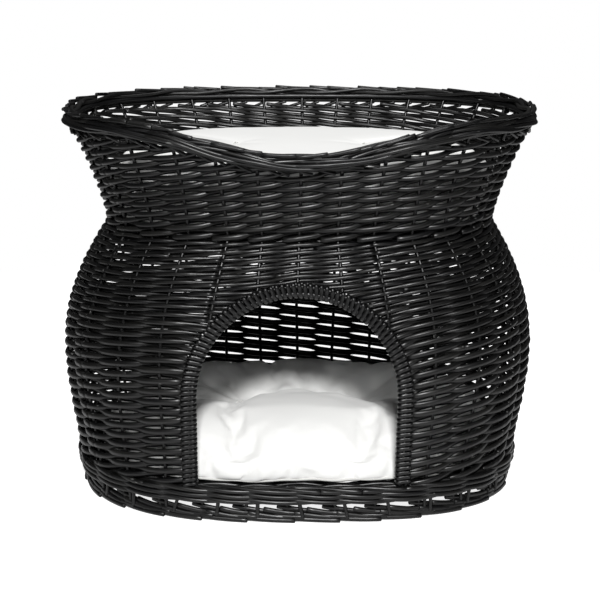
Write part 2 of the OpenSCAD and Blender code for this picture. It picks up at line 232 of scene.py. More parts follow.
class Rods:
    """Collects tubes, then makes one mesh of them with a tone and a grain place on every point."""

    def __init__(self, sides=8, flatten=1.0):
        self.sides = sides
        self.flatten = flatten
        self.verts, self.faces, self.sizes, self.grain, self.tone = [], [], [], [], []
        self.count = 0

    def add(self, path, radius, out, tone=None, chamfer=True, closed=False):
        """Tube along a path; out is the direction that its flatter side faces."""
        path = np.asarray(path, float)
        if len(path) < 2:
            return
        radius = np.broadcast_to(np.asarray(radius, float), (len(path),)).copy()
        out = np.broadcast_to(np.asarray(out, float), path.shape)
        if closed:
            tangent = unit(np.roll(path, -1, axis=0) - np.roll(path, 1, axis=0))
            chamfer = False
        else:
            tangent = unit(np.gradient(path, axis=0))
        side = unit(np.cross(tangent, out))
        face = np.cross(side, tangent)
        if chamfer:
            lift = CHAMFER_LENGTH * radius[[0, -1]]
            path = np.vstack([path[0] - tangent[0] * lift[0], path, path[-1] + tangent[-1] * lift[1]])
            end_radius = CHAMFER_RADIUS * radius[[0, -1]]
            radius = np.concatenate([end_radius[:1], radius, end_radius[1:]])
            side = np.vstack([side[0], side, side[-1]])
            face = np.vstack([face[0], face, face[-1]])
        n, k = len(path), self.sides
        a = 2 * math.pi * np.arange(k) / k
        deep = np.cos(a)[:, None] * face[:, None, :] / self.flatten
        ring = deep + np.sin(a)[:, None] * side[:, None, :] * self.flatten
        self.verts.append((path[:, None, :] + ring * radius[:, None, None]).reshape(-1, 3))
        i = np.arange(n if closed else n - 1)[:, None]
        ahead = (i + 1) % n * k
        i = i * k
        j = np.arange(k)[None, :]
        j1 = (j + 1) % k
        quads = np.stack([i + j, i + j1, ahead + j1, ahead + j], axis=-1).reshape(-1, 4) + self.count
        self.faces.append(quads.ravel())
        self.sizes.append(np.full(len(quads), 4))
        if not closed:
            self.faces.append(np.arange(k)[::-1] + self.count)
            self.faces.append(np.arange(k) + (n - 1) * k + self.count)
            self.sizes.append(np.array([k, k]))
        run = np.concatenate([[0], np.cumsum(np.linalg.norm(np.diff(path, axis=0), axis=1))])
        start = rng.uniform(0, 5)
        grain = np.zeros((n, k, 3))
        grain[..., 0] = run[:, None] + start
        grain[..., 1] = np.cos(a)[None, :] * radius[:, None] + start
        grain[..., 2] = np.sin(a)[None, :] * radius[:, None]
        self.grain.append(grain.reshape(-1, 3))
        value = rng.uniform(0, 1) if tone is None else tone
        self.tone.append(np.full(n * k, value))
        self.count += n * k

    def piece(self, name, material, body, nodes, slot="black_willow"):
        """One Blender object of all the tubes, riding on a body and standing for CAD nodes."""
        mesh = bpy.data.meshes.new(name)
        verts = np.concatenate(self.verts)
        loops = np.concatenate(self.faces).astype(np.int32)
        sizes = np.concatenate(self.sizes).astype(np.int32)
        mesh.vertices.add(len(verts))
        mesh.vertices.foreach_set("co", verts.ravel())
        mesh.loops.add(len(loops))
        mesh.loops.foreach_set("vertex_index", loops)
        mesh.polygons.add(len(sizes))
        starts = np.concatenate([[0], np.cumsum(sizes)[:-1]]).astype(np.int32)
        mesh.polygons.foreach_set("loop_start", starts)
        mesh.polygons.foreach_set("loop_total", sizes)
        mesh.polygons.foreach_set("use_smooth", sizes == 4)
        mesh.update(calc_edges=True)
        grain = mesh.attributes.new("grain", "FLOAT_VECTOR", "POINT")
        grain.data.foreach_set("vector", np.concatenate(self.grain).ravel())
        tone = mesh.attributes.new("tone", "FLOAT", "POINT")
        tone.data.foreach_set("value", np.concatenate(self.tone))
        mesh.materials.append(material)
        obj = bpy.data.objects.new(name, mesh)
        bpy.context.scene.collection.objects.link(obj)
        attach(obj, body)
        if nodes:
            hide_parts(*nodes)
        return obj


def wave(s, seed, size):
    """Smooth random waver of about "size", repeatable for each seed."""
    a = np.random.default_rng(seed).uniform(0, 2 * math.pi, 4)
    return size * (
        0.5 * np.sin(0.7 * s + a[0])
        + 0.4 * np.sin(1.9 * s + a[1])
        + 0.3 * np.sin(3.7 * s + a[2])
        + 0.2 * np.sin(6.1 * s + a[3])
    )


def round_wave(s, seed, size):
    """The same, but meeting itself after one turn round the basket."""
    a = np.random.default_rng(seed).uniform(0, 2 * math.pi, 3)
    t = 2 * math.pi * s / STAKES
    return size * (0.6 * np.sin(5 * t + a[0]) + 0.4 * np.sin(13 * t + a[1]) + 0.3 * np.sin(29 * t + a[2]))


def runs_of(keep):
    """Start and end index of every stretch where keep is true."""
    edges = np.flatnonzero(np.diff(np.concatenate([[0], keep.astype(int), [0]])))
    return edges.reshape(-1, 2)


def panel_finder(panels):
    """Function from a place to the name of the panel that holds it."""
    start = min(first for first, _ in panels.values())
    last_name = list(panels)[-1]

    def find(s):
        s = s % STAKES
        s = s + STAKES if s < start else s
        for name, (first, last) in panels.items():
            if first <= s < last:
                return name
        return last_name

    return find


def add_spans(groups, names, rod_no, keep, points, radius, normal, tones):
    """Add a woven rod to its panels' tubes, split where the panel or the rod changes. An end is
    chamfered where the rod is cut, and plain where it runs on into the next panel."""
    for a, b in runs_of(keep):
        i = a
        while i < b - 1:
            j = i + 1
            while j < b - 1 and names[j] == names[i] and rod_no[j] == rod_no[i]:
                j += 1
            span = slice(i, j + 1)
            cut = i == a or j == b - 1 or rod_no[j] != rod_no[i]
            groups[names[i]].add(points[span], radius[span], normal[span], tones[rod_no[i]], cut)
            i = j


# ---- Materials ----------------------------------------------------------------------


def new_material(name):
    material = bpy.data.materials.new(name)
    material.use_nodes = True
    tree = material.node_tree
    return material, tree, tree.nodes["Principled BSDF"]


def noise(tree, place, scale, detail):
    """Noise at a place; scale is one number, or three that stretch the place first."""
    texture = tree.nodes.new("ShaderNodeTexNoise")
    texture.inputs["Detail"].default_value = detail
    if isinstance(scale, tuple):
        stretch = tree.nodes.new("ShaderNodeMapping")
        stretch.inputs["Scale"].default_value = scale
        tree.links.new(place, stretch.inputs["Vector"])
        place, scale = stretch.outputs["Vector"], 1.0
    texture.inputs["Scale"].default_value = scale
    tree.links.new(place, texture.inputs["Vector"])
    return texture.outputs["Fac"]


def add_bump(tree, shader, height, strength, distance):
    bump = tree.nodes.new("ShaderNodeBump")
    bump.inputs["Strength"].default_value = strength
    bump.inputs["Distance"].default_value = distance
    tree.links.new(height, bump.inputs["Height"])
    tree.links.new(bump.outputs["Normal"], shader.inputs["Normal"])


def blend(tree, value, low, high, low_at=0.0, high_at=1.0):
    """Colour between low and high by a value."""
    ramp = tree.nodes.new("ShaderNodeValToRGB")
    for end, color, position in zip(ramp.color_ramp.elements, (low, high), (low_at, high_at)):
        end.color = (*color, 1)
        end.position = position
    tree.links.new(value, ramp.inputs["Fac"])
    return ramp.outputs["Color"]


def willow_material(name, woven=True):
    """Lacquered willow: tone from rod to rod, long grain and a few worn specks."""
    material, tree, shader = new_material(name)
    nodes, links = tree.nodes, tree.links
    if woven:
        grain = nodes.new("ShaderNodeAttribute")
        grain.attribute_name = "grain"
        grain_place = grain.outputs["Vector"]
        tone = nodes.new("ShaderNodeAttribute")
        tone.attribute_name = "tone"
        tone_value = tone.outputs["Fac"]
    else:
        grain_place = nodes.new("ShaderNodeTexCoord").outputs["Object"]
        tone = nodes.new("ShaderNodeValue")
        tone.outputs[0].default_value = 0.5
        tone_value = tone.outputs[0]

    streak = noise(tree, grain_place, (60, 900, 900), 3.0)
    blotch = noise(tree, grain_place, (45, 200, 200), 2.0)
    specks = noise(tree, grain_place, (70, 260, 260), 4.0)

    mix_tone = nodes.new("ShaderNodeMath")
    mix_tone.operation = "MULTIPLY"
    links.new(tone_value, mix_tone.inputs[0])
    links.new(blotch, mix_tone.inputs[1])
    lacquer = blend(tree, mix_tone.outputs[0], WILLOW_DARK, WILLOW_LIGHT, 0.05, 0.75)

    worn = nodes.new("ShaderNodeMapRange")
    worn.inputs["From Min"].default_value = 0.7
    worn.inputs["From Max"].default_value = 0.76
    links.new(specks, worn.inputs["Value"])
    bare = nodes.new("ShaderNodeMix")
    bare.data_type = "RGBA"
    bare.inputs["B"].default_value = (*WILLOW_WORN, 1)
    links.new(worn.outputs["Result"], bare.inputs["Factor"])
    links.new(lacquer, bare.inputs["A"])
    links.new(bare.outputs["Result"], shader.inputs["Base Color"])

    rough = nodes.new("ShaderNodeMapRange")
    rough.inputs["To Min"].default_value = 0.26
    rough.inputs["To Max"].default_value = 0.5
    links.new(streak, rough.inputs["Value"])
    links.new(rough.outputs["Result"], shader.inputs["Roughness"])
    add_bump(tree, shader, streak, 0.35, 0.4 * MM)
    shader.inputs["Specular IOR Level"].default_value = 0.4
    return material


WILLOW_DARK = (0.001, 0.001, 0.0012)
WILLOW_LIGHT = (0.008, 0.0078, 0.0072)
WILLOW_WORN = (0.16, 0.16, 0.155)
WILLOW = willow_material("black_willow")
WILLOW_STICK = willow_material("black_willow_stick", woven=False)

# ---- Cave wall ----------------------------------------------------------------------

ROD_BAYS = 23  # bays that one cave rod lasts before the next is laid in
PANELS = {
    "cave_weave_front_right": (2, 5),
    "cave_weave_right": (5, 10),
    "cave_weave_back": (10, 20),
    "cave_weave_left": (20, 25),
    "cave_weave_front_left": (25, 28),
    "cave_weave_over_door": (28, 32),
}


def bend_to_door(points):
    """Rods near the arch turn down to meet the door frame square on."""
    x, y, z = points[:, 0] + lean(points[:, 2]), points[:, 1], points[:, 2]
    rise = np.maximum(z - DOOR_SPRING + 20 * MM, 0)
    reach = np.hypot(x, np.maximum(z - DOOR_SPRING, 0))
    beyond = np.maximum(reach - DOOR_R - 10 * MM, 0)
    pull = np.clip(rise / DOOR_R, 0, 1) * np.exp(-beyond / (20 * MM)) * np.clip(np.abs(x) / reach, 0, 1)
    points = points.copy()
    points[:, 2] -= np.where(y < 0, 15 * MM * pull, 0)
    return points


def in_door(points):
    """Whether each point is inside the door or under its frame."""
    x, y, z = points[:, 0] + lean(points[:, 2]), points[:, 1], points[:, 2]
    reach = np.hypot(x, np.maximum(z - DOOR_SPRING, 0))
    return (y < 0) & (reach < DOOR_R + WEAVE_UNDER_FRAME)


def back_share(s):
    """1 on the back panel, 0 on the front and sides, with a soft change at the back corners."""
    t = np.clip((7.5 - np.abs(s % STAKES - STAKES / 2)) / 3, 0, 1)
    return t * t * (3 - 2 * t)


def weave_cave():
    """French randing: a rod starts at every stake and climbs one row in every bay. A few rods
    turn back at the corners, so the back is more open."""
    groups = {name: Rods(8, CAVE_FLATTEN) for name in PANELS}
    panel_of = panel_finder(PANELS)
    for start in range(STAKES):
        s = np.arange(0, STAKES * (CAVE_ROWS / STAKES + 2), 1 / STEPS)
        climb = s / STAKES - 1
        row = STAKES * climb + start + 0.5 + wave(s * 1.1, 40 + start, 0.1)
        place = np.interp(start, BACK_KEPT, np.arange(len(BACK_KEPT)))
        row_behind = len(BACK_KEPT) * climb + place + 0.5 + wave(s * 1.1, 60 + start, 0.07)
        behind = back_share(s)
        z = row_z(row, FRONT_ROWS) * (1 - behind) + row_z(row_behind, BACK_ROWS) * behind
        inside_wall = (row > 0.1) & (row < CAVE_ROWS - 0.1)
        if start in BACK_DROPPED:
            inside_wall &= behind < 0.4
        run = (s + 3.7 * start) / ROD_BAYS
        rod_no = np.floor(run).astype(int)
        aged = run - rod_no
        radius = ROD_FILL * row_pitch(row, FRONT_ROWS) * (1 - behind) + BACK_ROD_R * behind
        radius = radius * (1.04 - 0.1 * aged) * (1 + wave(s * 2.1, 70 + start, 0.05))
        off = PACKING * (STAKE_R + radius) * zigzag(s + start) * (1 - behind)
        off = off + behind * BACK_ROD_OFF * switchback(s + start)
        points, normal = wall(s, z, off)
        points = bend_to_door(points)
        keep = inside_wall & ~in_door(points)
        tones = np.random.default_rng(500 + start).uniform(0, 1, rod_no.max() + 1)
        names = [panel_of(b) for b in np.floor(s + 1e-6)]
        add_spans(groups, names, rod_no, keep, points, radius, normal, tones)
    for name, rods in groups.items():
        rods.piece("woven_" + name, WILLOW, "basket", [name])


# ---- Bed wall -----------------------------------------------------------------------

BED_PANELS = {
    "bed_weave_right": (5, 10),
    "bed_weave_back": (10, 20),
    "bed_weave_left": (20, 25),
    "bed_weave_front": (25, 35),
}


def weave_bed():
    """French randing: one rod starts at each stake and climbs one row in every bay."""
    groups = {name: Rods(8, BED_FLATTEN) for name in BED_PANELS}
    panel_of = panel_finder(BED_PANELS)
    for first in range(STAKES):
        s = np.arange(first - 0.375, first + BED_ROWS + 1, 1 / STEPS)
        k = s - first
        wider = 1.04 + 0.1 * np.cos(2 * math.pi * s / STAKES)
        row = (k + 0.3) * wider + wave(s * 1.3, 900 + first, 0.09)
        z = row_z(row, BED_TABLE)
        age = np.clip(k / BED_ROWS, 0, 1)
        radius = (BED_ROD_LOW + (BED_ROD_HIGH - BED_ROD_LOW) * age) * wider
        radius = radius * (1 + wave(s * 2.3, 300 + first, 0.05))
        off = PACKING * (STAKE_R + radius) * zigzag(k)
        points, normal = wall(s, z, off)
        keep = (z < BED_TOP - dip_at(s) + 3 * MM) & (row < BED_ROWS)
        names = [panel_of(b) for b in np.floor(s + 1e-6)]
        one_rod = np.zeros(len(s), int)
        add_spans(groups, names, one_rod, keep, points, radius, normal, [rng.uniform(0, 1)])
    for name, rods in groups.items():
        rods.piece("woven_" + name, WILLOW, "basket", [name])


# ---- Stakes -------------------------------------------------------------------------


def build_stakes():
    """Upright stakes from the foot, or from the door frame, up into the border."""
    groups = {
        "stakes_right": range(5, 11),
        "stakes_back": range(11, 20),
        "stakes_left": range(20, 26),
        "stakes_front": (3, 4, 26, 27),
        "stakes_over_door": (28, 29, 30, 31, 32),
    }
    for name, members in groups.items():
        rods = Rods(8)
        for i in members:
            low = FOOT_LO[2] + STAKE_START
            if name == "stakes_over_door":
                x = wall(i, DOOR_SPRING + DOOR_R)[0][0]
                low = DOOR_SPRING + math.sqrt((DOOR_R + STAKE_UNDER_FRAME) ** 2 - x * x)
            z = np.linspace(low, BORDER_MID - dip_at(i), 60)
            points, normal = wall(float(i), z)
            rods.add(points, STAKE_R, normal)
        rods.piece("willow_" + name, WILLOW, "basket", [name])


# ---- Foot ---------------------------------------------------------------------------


def build_wales():
    """Three courses of three rods each: every rod passes outside two stakes, then inside one."""
    for course, name in enumerate(("foot_wale_lower", "foot_wale_middle", "foot_wale_upper")):
        rods = Rods(8)
        z_mid = WALE_LO[2] + (course + 0.5) * WALE_PITCH
        for strand in range(3):
            for start in range(0, STAKES, WALE_BAYS):
                s = np.arange(start, start + WALE_BAYS + 0.01, 1 / STEPS) + strand + 0.5
                phase = 2 * math.pi * (s - strand - course) / 3
                off = 1.2 * MM + (STAKE_R + WALE_R) * (0.1 - np.cos(phase))
                z = z_mid + 1.5 * MM * np.sin(phase) + wave(s, 20 + 7 * strand + course, 0.4 * MM)
                points, normal = wall(s, z, off)
                radius = WALE_R * (1 + wave(s * 2, 33 * strand + course, 0.05))
                rods.add(points, radius, normal)
        rods.piece("twisted_" + name, WILLOW, "basket", [name])


# Of each layer of the foot: length in bays, height and push out in mm, shift in bays
FOOT_LAYERS = ((2.1, 0.0, 0.4, 0.0), (1.9, 3.6, -1.0, 0.35), (1.6, 7.2, -2.2, 0.7))
FOOT_LOOPS = ((3.4, -3.2), (9.4, -3.8))  # height and push out in mm
FOOT_FLATTEN, FOOT_LOOP_R = 1.1, 2.8 * MM


def build_foot():
    """Turned-down rod ends lying one over the next round the floor line."""
    rods = Rods(8, FOOT_FLATTEN)
    for i in range(STAKES):
        for reach, lift, push, shift in FOOT_LAYERS:
            s = np.arange(0, reach, 1 / STEPS) + i - 0.1 + shift + rng.uniform(-0.08, 0.08)
            t = (s - s[0]) / reach
            z = (3.0 + lift + 8.0 * (1 - t) ** 2.4) * MM
            off = (push + 2.4 * t - 1.2 * np.sin(math.pi * t)) * MM
            points, normal = wall(s, z + FOOT_LO[2], off)
            rods.add(points, (2.9 - 0.5 * t) * MM, normal)
    for lift, push in FOOT_LOOPS:
        s = np.arange(0, STAKES * STEPS) / STEPS
        z = FOOT_LO[2] + (lift + round_wave(s, 5, 0.4)) * MM
        points, normal = wall(s, z, (push + round_wave(s, 6, 0.5)) * MM)
        rods.add(points, FOOT_LOOP_R, normal, closed=True)
    rods.piece("plaited_foot_border", WILLOW, "basket", ["foot_border"])


def build_foot_tips():
    """Cut ends on both sides of each stake, in the open band above the foot."""
    rods = Rods(8)
    for i in range(STAKES):
        for side in (-1, 1):
            s = i + side * rng.uniform(0.12, 0.2)
            slant = rng.uniform(-0.12, 0.12)
            z = np.linspace(8 * MM, 26 * MM, 5)
            points, normal = wall(s + np.linspace(0, slant, 5), z, np.full(5, side * 2.2 * MM))
            rods.add(points, rng.uniform(1.8, 2.2) * MM, normal)
    rods.piece("foot_rod_ends", WILLOW, "basket", ["foot_stake_tips"])


# ---- Top border ---------------------------------------------------------------------

BORDER_OUT = 5 * MM
BRAID_W, BRAID_D, BRAID_R = 4.6 * MM, 2.6 * MM, 2.3 * MM
BRAID_PERIOD = 5.0  # bays
CORE_R = 3 * MM


def border_middle(s):
    x, y = plan(RIM_W + BORDER_OUT, RIM_D + BORDER_OUT, direction(s))
    return np.stack([x, y, BORDER_MID - dip(x, y)], axis=-1)


def border_frame(s):
    """Middle of the border all the way round, its outward direction and its up direction."""
    middle = border_middle(s)
    along = unit(np.roll(middle, -1, axis=0) - np.roll(middle, 1, axis=0))
    out = unit(np.cross(along, [0, 0, 1.0]))
    return middle, out, unit(np.cross(out, along))


def build_border():
    """Plait of three strands, each of three rods, over a core of two rods."""
    rods = Rods(8)
    s = np.arange(0, STAKES * 12) / 12
    middle, out, up = border_frame(s)
    across = unit(out - up)
    face = unit(out + up)
    for strand in range(3):
        phase = 2 * math.pi * (s / BRAID_PERIOD + strand / 3)
        for m in (-1, 0, 1):
            v = BRAID_W * np.sin(phase) + m * 1.9 * BRAID_R * (0.82 + 0.18 * np.cos(2 * phase))
            w = BRAID_D * np.sin(2 * phase) + round_wave(s, 50 + 3 * strand + m, 0.5 * MM)
            w = w + (1.4 * MM if m == 0 else 0)
            points = middle + across * v[:, None] + face * w[:, None]
            rods.add(points, BRAID_R, face, None, closed=True)
    for v, w in ((-3, -5.5), (4, -5.5)):
        rods.add(middle + across * v * MM + face * w * MM, CORE_R, face, None, closed=True)
    rods.piece("plaited_rim_border", WILLOW, "basket", ["rim_border"])


def build_rim_tips():
    """Cut rod ends: short ones under the border, and some that stand up along its top."""
    rods = Rods(8)
    for i in range(STAKES):
        for extra in (0, 0.45):
            s = i + extra + rng.uniform(-0.1, 0.1)
            length = rng.uniform(0.3, 0.5)
            path_s = np.linspace(s, s + length, 6)
            t = np.linspace(0, 1, 6)
            z = BED_TOP - dip_at(path_s) + (3 - 4.5 * t - rng.uniform(0, 2) * t) * MM
            points, normal = wall(path_s, z, (3.5 + 2.0 * t) * MM)
            rods.add(points, rng.uniform(1.7, 2.2) * MM, normal)
    for i in range(2 * STAKES):
        s = 0.5 * i + rng.uniform(-0.2, 0.2) + np.linspace(0, rng.uniform(0.5, 0.9), 6)
        t = np.linspace(0, 1, 6)
        middle = border_middle(s)
        out = unit(middle * [1, 1, 0])
        rise = (6.0 + rng.uniform(0.5, 3.0) * t)[:, None] * MM
        side = (2.5 + rng.uniform(-2, 4) * t)[:, None] * MM
        rods.add(middle + [0, 0, 1] * rise + out * side, rng.uniform(1.8, 2.3) * MM, out)
    rods.piece("rim_rod_ends", WILLOW, "basket", ["rim_stake_tips"])


# ---- Door frame ---------------------------------------------------------------------

LEG = DOOR_SPRING - SILL_Z
HOOP_R, HOOP_GAP, HOOP_SUNK = 2.5 * MM, 6.8 * MM, 10 * MM
WRAP_R, WRAP_FLATTEN = 1.8 * MM, 1.35
WRAP_TURNS, WRAP_STEPS = 100, 20


def arch(run, grow):
    """Point of the arch, its radial direction and the wall's outward direction.

    run is the length along the frame's middle line, grow the distance outside the clear door."""
    mid_r = DOOR_R + FRAME_W / 2
    bend = math.pi * mid_r
    turn = np.clip((run - LEG) / bend, 0, 1) * math.pi
    drop = np.maximum(LEG - run, 0) + np.maximum(run - LEG - bend, 0)
    r = DOOR_R + grow
    x, z = -r * np.cos(turn), DOOR_SPRING + r * np.sin(turn) - drop
    point = np.stack([x - lean(z), front_y(x, z), z], axis=-1)
    radial = np.stack([-np.cos(turn), 0 * turn, np.sin(turn)], axis=-1)
    e = 2 * MM
    slope_x = (front_y(x + e, z) - front_y(x - e, z)) / (2 * e)
    slope_z = (front_y(x, z + e) - front_y(x, z - e)) / (2 * e)
    outward = unit(np.stack([slope_x, -np.ones_like(x), slope_z], axis=-1))
    return point, radial, outward


FRAME_RUN = 2 * LEG + math.pi * (DOOR_R + FRAME_W / 2)


def build_door():
    """Two bent rods side by side, and the flat split wound round both."""
    for name, side in (("door_hoop_inner", -1), ("door_hoop_outer", 1)):
        rods = Rods(10)
        run = np.linspace(-HOOP_SUNK, FRAME_RUN + HOOP_SUNK, 120)
        point, _, outward = arch(run, (FRAME_W + side * HOOP_GAP) / 2)
        rods.add(point, HOOP_R, outward)
        rods.piece("bent_" + name, WILLOW, "basket", [name])
    rods = Rods(8, WRAP_FLATTEN)
    angle = np.arange(0, WRAP_TURNS * WRAP_STEPS + 1) * 2 * math.pi / WRAP_STEPS
    run = FRAME_RUN * angle / angle[-1] + wave(angle / 6, 11, 0.3 * MM)
    point, radial, outward = arch(run, FRAME_W / 2)
    c, n = np.cos(angle), np.sin(angle)
    reach = HOOP_GAP / 2 + HOOP_R + 0.75 * WRAP_R
    v = reach * np.sign(c) * np.abs(c) ** 0.85
    pinch = 1 - 0.3 * (1 - (v / reach) ** 2) ** 2
    w = (HOOP_R + WRAP_R) * np.sign(n) * np.abs(n) ** 0.6 * pinch
    path = point + radial * v[:, None] + outward * w[:, None]
    ring_out = unit(radial * v[:, None] + outward * w[:, None])
    rods.add(path, WRAP_R, ring_out)
    rods.piece("wrapped_door_frame", WILLOW, "basket", ["door_wrap"])


# ---- Woven floor and shelf ----------------------------------------------------------

FLOOR_PITCH, FLOOR_BOB, FLOOR_ROD_R, STICK_GAP = 5.4 * MM, 2.2 * MM, 2.3 * MM, 46 * MM


def build_floor(node):
    """Rods laid along X, over and under the cross sticks, cut to the outline."""
    lo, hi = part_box(node)
    level_z = (lo[2] + hi[2]) / 2 - 0.5 * MM
    half_w, half_d = (hi[0] - lo[0]) / 2, (hi[1] - lo[1]) / 2
    rods = Rods(6)
    count = int(2 * half_d / FLOOR_PITCH)
    for k in range(count):
        y = (k - (count - 1) / 2) * FLOOR_PITCH
        reach = half_w * (1 - (abs(y) / half_d) ** PLAN_POWER) ** (1 / PLAN_POWER)
        x = np.arange(-reach, reach, 9 * MM)
        bob = FLOOR_BOB * np.cos(math.pi * (x / STICK_GAP + k))
        z = level_z + bob + wave(x * 30, 60 + k, 0.3 * MM)
        rods.add(np.stack([x, y + 0 * x, z], axis=-1), FLOOR_ROD_R, [0, 0, 1.0])
    rods.piece("woven_" + node, WILLOW, "basket", [node])


# ---- Cushions -----------------------------------------------------------------------


def cotton_material(name, tone):
    """White cotton with a fine weave and slight clouds of tone."""
    material, tree, shader = new_material(name)
    place = tree.nodes.new("ShaderNodeTexCoord").outputs["Object"]
    weave = noise(tree, place, 900.0, 2.0)
    cloud = noise(tree, place, 14.0, 3.0)
    color = blend(tree, cloud, [0.93 * c for c in tone], tone)
    tree.links.new(color, shader.inputs["Base Color"])
    add_bump(tree, shader, weave, 0.25, 0.3 * MM)
    shader.inputs["Roughness"].default_value = 0.9
    shader.inputs["Sheen Weight"].default_value = 0.25
    return material


COTTON = cotton_material("cushion_cotton", (0.8, 0.8, 0.785))
# A darker copy of the cushion cotton for the welt and the stitches: painted shade of the seam crease and
# the tuft hollows.
SHADED_SEAM_COTTON = cotton_material("cushion_seam", (0.64, 0.64, 0.62))
VOXEL = 5 * MM
PRESSURE = 4.0
SWELL_CAP = 14 * MM
SOFT_LIMIT = 6 * MM
TUFT_X, TUFT_R = 73 * MM, 8 * MM
FOLD_BOW, FOLD_HALF = 20 * MM, 3 * MM
WELT_R, THREAD_R, STITCH_HALF = 1.5 * MM, 0.7 * MM, 4 * MM


def pillow(name, half_w, half_d, seam_z, low, top, boxy):
    """Closed cushion form: top(x, y) is the height over the seam, and a smaller boxy makes the
    upper side squarer."""
    around, levels = 96, 33
    u = np.linspace(0, 2 * math.pi, around, endpoint=False)
    verts = []
    for level in range(1, levels):
        tilt = math.pi * (level / levels - 0.5)
        share = math.cos(tilt) ** (boxy if tilt > 0 else 0.15)
        x, y = plan(half_w * share, half_d * share, u)
        swell = abs(math.sin(tilt)) ** (0.75 if tilt > 0 else 0.4)
        z = seam_z + top(x, y) * swell if tilt > 0 else seam_z - (seam_z - low) * swell + 0 * x
        verts += list(np.stack([x, y, z], axis=-1))
    rings = levels - 1
    faces = []
    for i in range(rings - 1):
        for j in range(around):
            this, above, ahead = i * around, (i + 1) * around, (j + 1) % around
            faces.append((this + j, this + ahead, above + ahead, above + j))
    faces.append(list(range(around))[::-1])
    faces.append([(rings - 1) * around + j for j in range(around)])
    mesh = bpy.data.meshes.new(name)
    mesh.from_pydata([tuple(v) for v in verts], [], faces)
    obj = bpy.data.objects.new(name, mesh)
    bpy.context.scene.collection.objects.link(obj)
    remesh = obj.modifiers.new("remesh", "REMESH")
    remesh.mode = "VOXEL"
    remesh.voxel_size = VOXEL
    evaluated = obj.evaluated_get(bpy.context.evaluated_depsgraph_get())
    obj.data = bpy.data.meshes.new_from_object(evaluated)
    obj.data.name = name
    obj.modifiers.clear()
    return obj


def coords(mesh):
    flat = np.empty(3 * len(mesh.vertices))
    mesh.vertices.foreach_get("co", flat)
    return flat.reshape(-1, 3)


def inflate(obj, held, cap, slack):
    """Blow the form up as cloth, holding the sewn and resting points, and keep the result."""
    start = coords(obj.data)
    group = obj.vertex_groups.new(name="held")
    group.add([int(i) for i in np.flatnonzero(held)], 1.0, "REPLACE")
    cloth = obj.modifiers.new("inflate", "CLOTH")
    settings = cloth.settings
    settings.vertex_group_mass = "held"
    settings.quality = 6
    settings.mass = 0.15
    settings.tension_stiffness = 12
    settings.compression_stiffness = 12
    settings.shear_stiffness = 4
    settings.bending_stiffness = 0.15
    settings.shrink_min = -slack
    settings.use_pressure = True
    settings.uniform_pressure_force = PRESSURE
    settings.effector_weights.gravity = 0
    scene = bpy.context.scene
    for number in range(1, 21):
        scene.frame_set(number)
    evaluated = obj.evaluated_get(bpy.context.evaluated_depsgraph_get())
    moved = coords(evaluated.data) - start
    obj.modifiers.remove(cloth)
    scene.frame_set(1)
    far = np.linalg.norm(moved, axis=1, keepdims=True)
    return start + moved * np.minimum(1, cap / np.maximum(far, 1e-9))


def keep_within(points, half_w, half_d, low, high):
    """Flatten the form against the wall round it, the floor below it and its full height."""
    u = np.arctan2(points[:, 1], points[:, 0])
    x, y = plan(half_w, half_d, u)
    room = np.hypot(x, y)
    reach = np.hypot(points[:, 0], points[:, 1])
    squeeze = np.minimum(1, room / np.maximum(reach, 1e-9))
    points = points.copy()
    points[:, :2] *= squeeze[:, None]
    over = np.maximum(points[:, 2] - high + SOFT_LIMIT, 0)
    pressed = high - SOFT_LIMIT * np.exp(-over / SOFT_LIMIT)
    points[:, 2] = np.where(over > 0, pressed, np.maximum(points[:, 2], low))
    return points


def tuft_wells(x, y, depth, width):
    """Hollow round each tuft, drawn out towards the front, with pleats running into it."""
    total = 0 * x
    for side in (-1, 1):
        across, along = x - side * TUFT_X, y * np.where(y < 0, 0.3, 1)
        total = total + depth * np.exp(-np.hypot(across, along) / width)
        far = np.hypot(across, y)
        turn = np.arctan2(y, across) + 0.35 * np.sin(far / (17 * MM) + side)
        pleat = np.cos(9 * turn + side) + 0.6 * np.cos(14 * turn + 2)
        total = total + 1.5 * MM * pleat * np.exp(-(((far - 42 * MM) / (22 * MM)) ** 2))
    return total


def fold_y(x):
    """The fold between the tufts bows towards the back."""
    return FOLD_BOW * (1 - (x / TUFT_X) ** 2)


def lower_top(x, y):
    """Height of the lower cushion over its seam: two rolls with a fold between the tufts."""
    ridge = 50 * MM - 6 * MM * np.exp(-((y / (52 * MM)) ** 2))
    fold = 3 * MM * np.exp(-np.abs(y - fold_y(x)) / (9 * MM)) * (np.abs(x) < TUFT_X)
    return ridge - tuft_wells(x, y, 18 * MM, 20 * MM) - fold


def upper_top(x, y):
    """Height of the upper cushion over its seam: nearly level, hollow round the tufts."""
    ridge = 50 * MM - 4 * MM * np.exp(-((y / (40 * MM)) ** 2))
    waver = 1.5 * MM * np.sin(x / (31 * MM) + 1)
    return ridge + waver - tuft_wells(x, y, 9 * MM, 24 * MM)


def seam_rod(rods, tree, half_w, half_d, seam_z, seed):
    """Welt laid on the cushion's side along its sewn seam."""
    s = np.arange(0, STAKES * 8) / 8
    x, y = plan(half_w, half_d, direction(s))
    z = seam_z + round_wave(s, seed, 2 * MM)
    path, out = [], []
    for px, py, pz in zip(x, y, z):
        away = Vector((px, py, 0)).normalized()
        hit = tree.ray_cast(Vector((px, py, pz)) + 0.1 * away, -away)[0]
        path.append(hit if hit else (px, py, pz))
        out.append(away)
    path = np.array([tuple(point) for point in path])
    for _ in range(3):
        path = (np.roll(path, 1, axis=0) + 2 * path + np.roll(path, -1, axis=0)) / 4
    rods.add(path, WELT_R, np.array([tuple(v) for v in out]), 0.5, closed=True)


